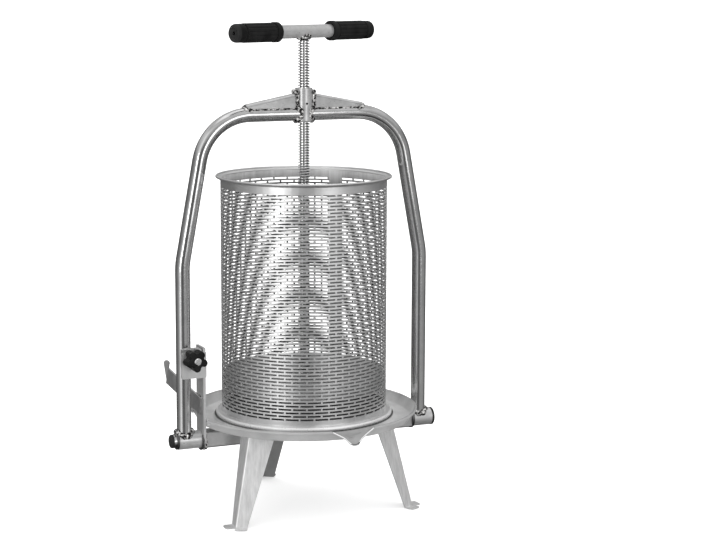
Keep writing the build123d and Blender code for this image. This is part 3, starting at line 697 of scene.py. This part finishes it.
def drawn_tray():
    """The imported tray's sheet, finer at the lip, with the lip drawn down to a round tip."""
    mesh = bmesh.new()
    mesh.from_mesh(nodes["juice_tray"].data)
    mesh.transform(nodes["juice_tray"].matrix_world)
    bmesh.ops.remove_doubles(mesh, verts=mesh.verts, dist=1e-6)
    for _ in range(FINE_ROUNDS):
        long_edges = [edge for edge in mesh.edges if edge.calc_length() > FINE * MM]
        coarse = [edge for edge in long_edges if any(near_lip(vert) for vert in edge.verts)]
        if not coarse:
            break
        bmesh.ops.subdivide_edges(mesh, edges=coarse, cuts=1)
        bmesh.ops.triangulate(mesh, faces=[f for f in mesh.faces if len(f.verts) > 3])
    for vert in mesh.verts:
        vert.co.z -= lip_drop(*lip_plan(vert.co)) * MM
    mesh.verts.index_update()
    verts = [vert.co.copy() for vert in mesh.verts]
    faces = [[vert.index for vert in face.verts] for face in mesh.faces]
    mesh.free()
    thing = crisp(piece("tray_sheet", verts, faces, "base", dish_shade_and_light), 30.0)
    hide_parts("juice_tray")


def rod(name, path, radius, body, material, sides=10):
    """Round bar along a path in millimetres."""
    points = [Vector(p) for p in path]
    verts, faces = [], []
    for index, point in enumerate(points):
        along = (points[min(index + 1, len(points) - 1)] - points[max(index - 1, 0)]).normalized()
        across = along.cross(Vector((0, 0, 1))).normalized()
        over = across.cross(along)
        for step in range(sides):
            angle = 2 * math.pi * step / sides
            verts.append((point + (across * math.cos(angle) + over * math.sin(angle)) * radius) * MM)
    for index in range(len(points) - 1):
        for step in range(sides):
            after = (step + 1) % sides
            a, b = index * sides + step, index * sides + after
            faces.append((a, b, b + sides, a + sides))
    last = (len(points) - 1) * sides
    faces += [tuple(range(sides)), tuple(range(last, last + sides))]
    return piece(name, verts, faces, body, material)


def arc_through(first, middle, last, steps):
    """Points of the circle arc through three points in a plane."""
    (ax, ay), (bx, by), (cx, cy) = first, middle, last
    det = 2 * (ax * (by - cy) + bx * (cy - ay) + cx * (ay - by))
    a2, b2, c2 = ax * ax + ay * ay, bx * bx + by * by, cx * cx + cy * cy
    ux = (a2 * (by - cy) + b2 * (cy - ay) + c2 * (ay - by)) / det
    uy = (a2 * (cx - bx) + b2 * (ax - cx) + c2 * (bx - ax)) / det
    start, stop = math.atan2(ay - uy, ax - ux), math.atan2(cy - uy, cx - ux)
    swing_by = (stop - start + math.pi) % (2 * math.pi) - math.pi
    radius = math.hypot(ax - ux, ay - uy)
    turns_at = [start + swing_by * step / steps for step in range(steps + 1)]
    return [(ux + radius * math.cos(a), uy + radius * math.sin(a)) for a in turns_at]


drawn_tray()
# the edge follows the lip's plan: an arc from the rim to the tip, the tip, and the arc back
edge_side = arc_through(EDGE_RIM, EDGE_MIDDLE, EDGE_TIP, EDGE_STEPS)
tip_reach, tip_off = EDGE_TIP
edge_tip = [(tip_reach, tip_off - 2 * tip_off * step / TIP_STEPS) for step in range(1, TIP_STEPS)]
edge_path = edge_side + edge_tip + [(reach, -off) for reach, off in reversed(edge_side)]
edge_points = [lip_point(reach, off) for reach, off in edge_path]
# pale rod as a painted highlight along the cut edge, darker at the tip
lip_edge_highlight = rod("lip_edge_highlight", edge_points, EDGE, "base", highlight_steel)
lip_edge_highlight.data.materials.append(dull_and_shaded)
for polygon in lip_edge_highlight.data.polygons:
    polygon.material_index = 1 if abs(lip_plan(polygon.center)[1]) < DULL_HALF else 0

# Grips: fluted rubber sleeves with a collar and a capped end

GRIP = 14.25
GRIP_BORE = 10.05
FLUTES = 14
FLUTE = (0.0, 0.0, 0.0, 0.0, 0.3, 1.0, 1.0, 0.3)
FLUTE_DEPTH = 1.0
FLUTE_START, FLUTE_END = 67.0, 121.0
CAP_FROM = 136.5
# (distance from the screw's axis, radius), from the capped end to the collar and back along the bore
grip_profile = [(138.1, 3.0), (140.2, 3.0), (140.5, 3.6), (139.8, 7.2), (140.8, 8.4), (141.0, 9.4),
                (140.2, 11.6), (138.4, 13.2), (136.0, 13.7), (126.0, 13.8), (125.2, 13.2), (124.8, 12.4),
                (123.0, 12.4), (122.6, 13.4), (121.8, GRIP), (FLUTE_END, GRIP), (FLUTE_START, GRIP),
                (66.0, GRIP), (65.2, 13.6), (64.8, 13.0), (63.8, 13.0), (63.4, 14.2), (62.6, 15.0),
                (55.2, 15.0), (54.2, 14.4), (54.0, 13.6), (54.0, GRIP_BORE), (138.1, GRIP_BORE)]


def grip(name, node, sign):
    """Grip on one end of the handle bar."""
    along = Vector((math.cos(HANDLE_TURN), math.sin(HANDLE_TURN), 0.0)) * sign
    side = Vector((-math.sin(HANDLE_TURN), math.cos(HANDLE_TURN), 0.0))
    centre = Vector((0.0, 0.0, HANDLE_AT))
    segments = FLUTES * len(FLUTE)
    verts = []
    for step in range(segments):
        angle = 2 * math.pi * step / segments
        spoke = side * math.cos(angle) + Vector((0, 0, 1)) * math.sin(angle)
        for place, radius in grip_profile:
            fluted = FLUTE_START <= place <= FLUTE_END and radius == GRIP
            depth = FLUTE_DEPTH * FLUTE[step % len(FLUTE)] if fluted else 0.0
            verts.append((centre + along * place + spoke * (radius - depth)) * MM)
    faces = turned_faces(segments, len(grip_profile))
    thing = crisp(piece(name, verts, faces, "screw", rubber), 30.0)
    thing.data.materials.append(cap)
    for polygon in thing.data.polygons:
        reach = (polygon.center - centre * MM).dot(along) / MM
        polygon.material_index = 1 if reach > CAP_FROM else 0
    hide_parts(node)


grip("grip_sleeve_left", "grip_left", -1)
grip("grip_sleeve_right", "grip_right", 1)

# Camera, from a perspective fit to the photograph

# place in metres, angles in degrees, focal length and width in pixels, sensor in millimetres
CAMERA_AT = Vector((-1.0564, -2.6104, 0.8179))
HEADING, PITCH_DOWN, ROLL = 23.7101, 9.1075, 0.2258
FOCAL_LENGTH = 1871.915
PICTURE_WIDTH = 716.0
SENSOR = 36.0
heading, pitch_down, roll = math.radians(HEADING), math.radians(PITCH_DOWN), math.radians(ROLL)
level_forward = Vector((math.sin(heading), math.cos(heading), 0.0))
forward = level_forward * math.cos(pitch_down) - Vector((0.0, 0.0, math.sin(pitch_down)))
right = Vector((math.cos(heading), -math.sin(heading), 0.0))
up = right.cross(forward)
tilted_right = right * math.cos(roll) + up * math.sin(roll)
tilted_up = tilted_right.cross(forward)
eye = bpy.data.cameras.new("camera")
eye.sensor_width = SENSOR
eye.lens = SENSOR * FOCAL_LENGTH / PICTURE_WIDTH
eye.clip_end = 100.0
camera = bpy.data.objects.new("camera", eye)
turn = Matrix((tilted_right, tilted_up, -forward)).transposed()
camera.matrix_world = Matrix.Translation(CAMERA_AT) @ turn.to_4x4()
scene.collection.objects.link(camera)
scene.camera = camera

# Floor and studio light

FLOOR_REACH = 300.0
FLOOR_GLOW = 0.35
DOME_STRENGTH = 1.35
floor_mesh = bpy.data.meshes.new("floor")
corners = [(sx * FLOOR_REACH, sy * FLOOR_REACH, 0.0) for sx, sy in ((-1, -1), (1, -1), (1, 1), (-1, 1))]
floor_mesh.from_pydata(corners, [], [(0, 1, 2, 3)])
floor = bpy.data.objects.new("floor", floor_mesh)
scene.collection.objects.link(floor)
paper, paper_tree, paper_shader, paper_place = new_material("floor_paper")
paper_cloud = noise(paper_tree, paper_place, 0.6, 2.0)
paper_tree.links.new(tint(paper_tree, paper_cloud, 0.93, 0.95), paper_shader.inputs["Base Color"])
paper_shader.inputs["Roughness"].default_value = 0.9
paper_shader.inputs["Emission Color"].default_value = colour(1.0)
paper_shader.inputs["Emission Strength"].default_value = FLOOR_GLOW
floor_mesh.materials.append(paper)
floor.visible_glossy = False

# the white dome lights the floor; the steel mirrors a darker room with panels round the camera's side
CAMERA_SIDE = math.radians(-112.03)
# grey levels round the room, in degrees from the camera's side with the picture's left negative
WALL_LEVELS = ((-180, 0.06), (-150, 0.09), (-118, 0.14), (-88, 0.22), (-64, 0.36), (-46, 0.80),
               (-30, 1.10), (-16, 0.28), (2, 0.10), (16, 0.16), (32, 0.36), (46, 0.38), (62, 0.36),
               (88, 0.32), (118, 0.16), (150, 0.09), (180, 0.06))
# grey levels from the floor to the ceiling, and the share that they have, in degrees above the horizon
RISE_LEVELS = ((-90, 0.01), (-60, 0.02), (-28, 0.14), (8, 0.50), (20, 1.0), (40, 0.9), (56, 0.60),
               (74, 1.40), (90, 0.90))
RISE_SHARE = ((-42, 1.0), (-20, 0.0), (10, 0.0), (24, 0.35), (50, 0.9), (70, 1.0))
world = bpy.data.worlds.new("studio")
scene.world = world
world.use_nodes = True
sky = world.node_tree


def grey_ramp(value, stops, turn):
    """Grey levels over a value from 0 to 1, which stands for some degrees with 0 in their middle."""
    node = sky.nodes.new("ShaderNodeValToRGB")
    ramp = node.color_ramp
    ramp.interpolation = "EASE"
    while len(ramp.elements) < len(stops):
        ramp.elements.new(0.5)
    for element, (degrees, level) in zip(ramp.elements, stops):
        element.position = (degrees + turn / 2) / turn
        element.color = (level, level, level, 1.0)
    sky.links.new(value, node.inputs["Fac"])
    return node.outputs["Color"]


coords = sky.nodes.new("ShaderNodeTexCoord")
sky_x, sky_y, sky_z = axes(sky, coords.outputs["Generated"])
swing = reckon(sky, "SUBTRACT", reckon(sky, "ARCTAN2", sky_y, sky_x), CAMERA_SIDE)
around = reckon(sky, "WRAP", swing, math.pi, -math.pi)
round_share = reckon(sky, "ADD", reckon(sky, "DIVIDE", around, 2 * math.pi), 0.5)
height_share = reckon(sky, "ADD", reckon(sky, "DIVIDE", reckon(sky, "ARCSINE", sky_z), math.pi), 0.5)
walls = grey_ramp(round_share, WALL_LEVELS, 360.0)
rise = grey_ramp(height_share, RISE_LEVELS, 180.0)
rise_share = grey_ramp(height_share, RISE_SHARE, 180.0)
dome = sky.nodes["Background"]
dome.inputs["Color"].default_value = colour(1.0)
dome.inputs["Strength"].default_value = DOME_STRENGTH
room = sky.nodes.new("ShaderNodeBackground")
sky.links.new(mix(sky, rise_share, walls, rise), room.inputs["Color"])
room.inputs["Strength"].default_value = 1.0
light_path = sky.nodes.new("ShaderNodeLightPath")
choose = sky.nodes.new("ShaderNodeMixShader")
sky.links.new(light_path.outputs["Is Glossy Ray"], choose.inputs["Fac"])
sky.links.new(dome.outputs["Background"], choose.inputs[1])
sky.links.new(room.outputs["Background"], choose.inputs[2])
sky.links.new(choose.outputs["Shader"], sky.nodes["World Output"].inputs["Surface"])


LIGHT_AIM = Vector((0.0, 0.0, 0.40))


def softbox(name, place, size, power):
    """Rectangular soft light that faces the middle of the part."""
    lamp = bpy.data.lights.new(name, "AREA")
    lamp.shape = "RECTANGLE"
    lamp.size, lamp.size_y = size
    lamp.energy = power
    thing = bpy.data.objects.new(name, lamp)
    facing = (LIGHT_AIM - Vector(place)).to_track_quat("-Z", "Y")
    thing.matrix_world = Matrix.Translation(Vector(place)) @ facing.to_matrix().to_4x4()
    scene.collection.objects.link(thing)


softbox("left", (-2.48, -1.80, 0.62), (0.5, 1.2), 9.5)
softbox("right", (0.62, -2.93, 0.66), (1.2, 1.2), 9.0)
scene.view_settings.view_transform = "Standard"
